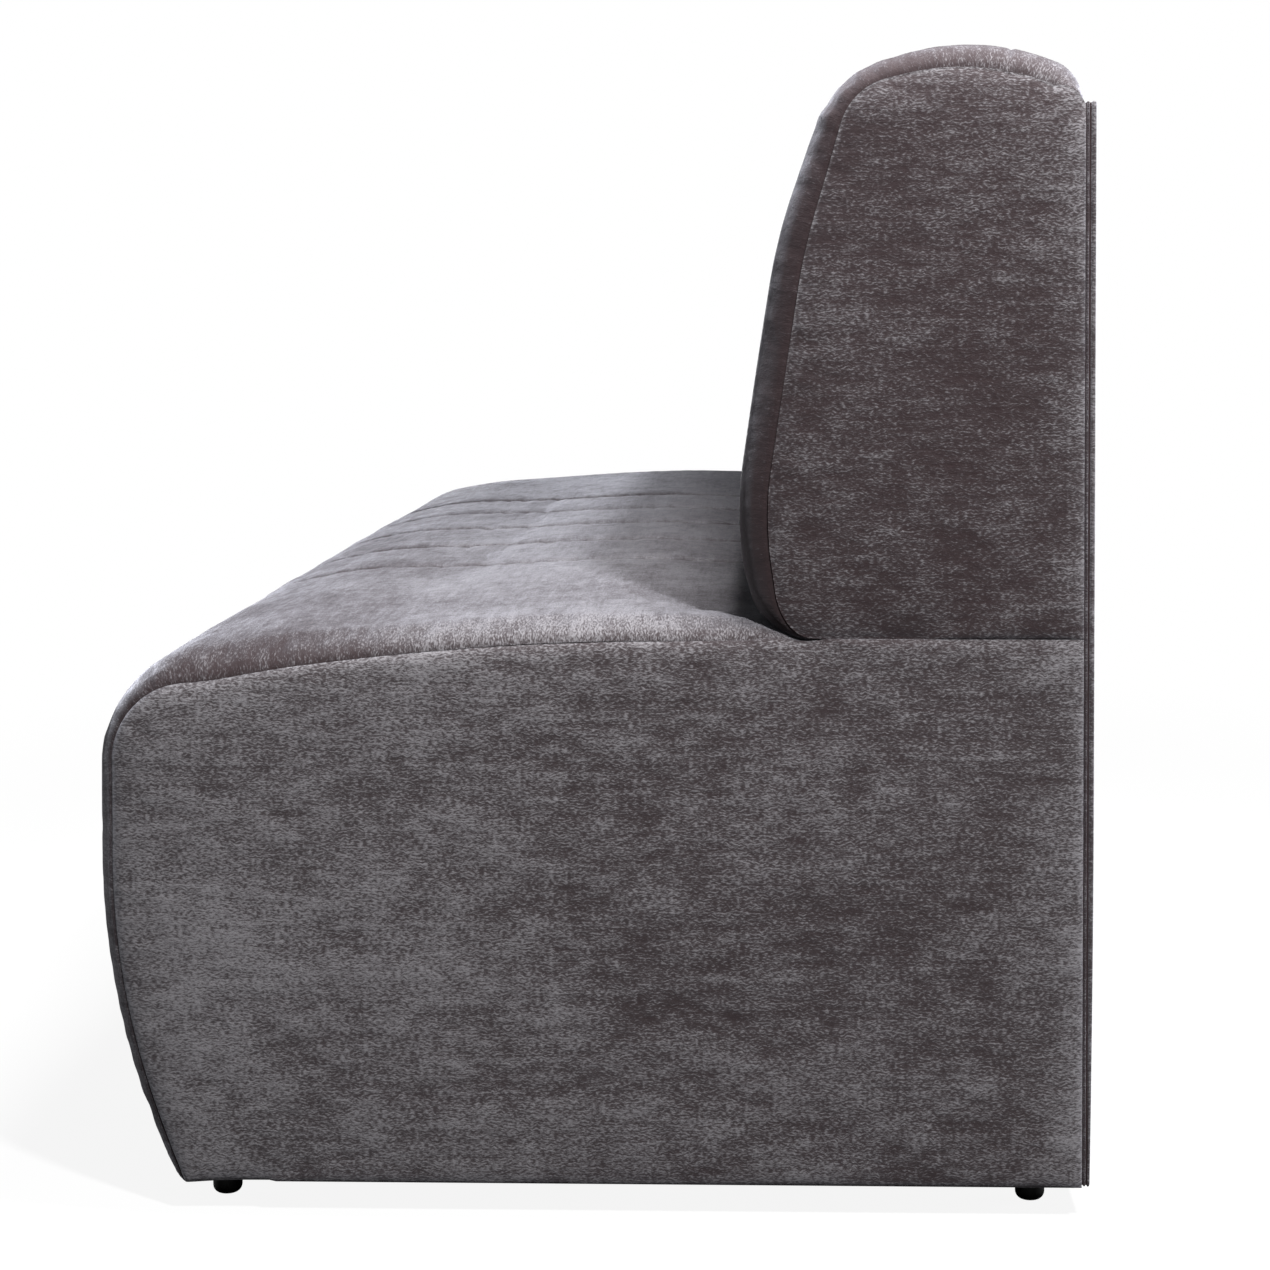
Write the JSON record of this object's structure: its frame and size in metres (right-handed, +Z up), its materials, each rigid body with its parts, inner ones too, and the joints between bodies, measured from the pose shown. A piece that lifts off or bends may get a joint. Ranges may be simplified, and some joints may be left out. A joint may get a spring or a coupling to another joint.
{
  "type": "upholstered dining bench",
  "caption": "Long fully upholstered dining bench with a channelled waterfall seat, a thick leaning back cushion, a flat rear panel and low round feet.",
  "frame": {"origin": "on the floor under the middle of the bench's outer box", "axes": "+X along the bench, +Y towards the back, so the sitter faces -Y, +Z up"},
  "size_m": [1.8, 0.73, 0.86],
  "materials": {
    "cover_fabric": "mottled chenille",
    "foam": "open-cell foam",
    "felt": "needled felt",
    "webbing": "woven elastic belt",
    "dust_cloth": "non-woven cloth",
    "frame_timber": "planed softwood",
    "plywood": "raw plywood",
    "foot_plastic": "matt black",
    "bolt_steel": "zinc plated"
  },
  "bodies": {
    "root": {"back_belts": "webbing", "back_bolts": "bolt_steel", "back_bottom_rail": "frame_timber", "back_cover": "cover_fabric", "back_end_cover_left": "cover_fabric", "back_end_cover_right": "cover_fabric", "back_end_foam_left": "foam", "back_end_foam_right": "foam", "back_end_post_left": "frame_timber", "back_end_post_right": "frame_timber", "back_end_rib_left": "plywood", "back_end_rib_right": "plywood", "back_foam": "foam", "back_inner_post_left": "frame_timber", "back_inner_post_right": "frame_timber", "back_inner_rib_left": "plywood", "back_inner_rib_right": "plywood", "back_top_board": "plywood", "back_top_rail": "frame_timber", "base_rib_left": "plywood", "base_rib_right": "plywood", "corner_blocks": "frame_timber", "dust_cover": "dust_cloth", "end_cover_left": "cover_fabric", "end_cover_right": "cover_fabric", "end_foam_left": "foam", "end_foam_right": "foam", "end_panel_left": "plywood", "end_panel_right": "plywood", "front_bottom_rail": "frame_timber", "front_feet": "foot_plastic", "front_foam": "foam", "front_panel": "plywood", "front_seat_rail": "frame_timber", "rear_board": "plywood", "rear_bottom_rail": "frame_timber", "rear_cover": "cover_fabric", "rear_feet": "foot_plastic", "rear_seat_rail": "frame_timber", "seat_cover": "cover_fabric", "seat_cross_belts": "webbing", "seat_felt": "felt", "seat_foam": "foam", "seat_long_belts": "webbing"}
  },
  "joints": []
}
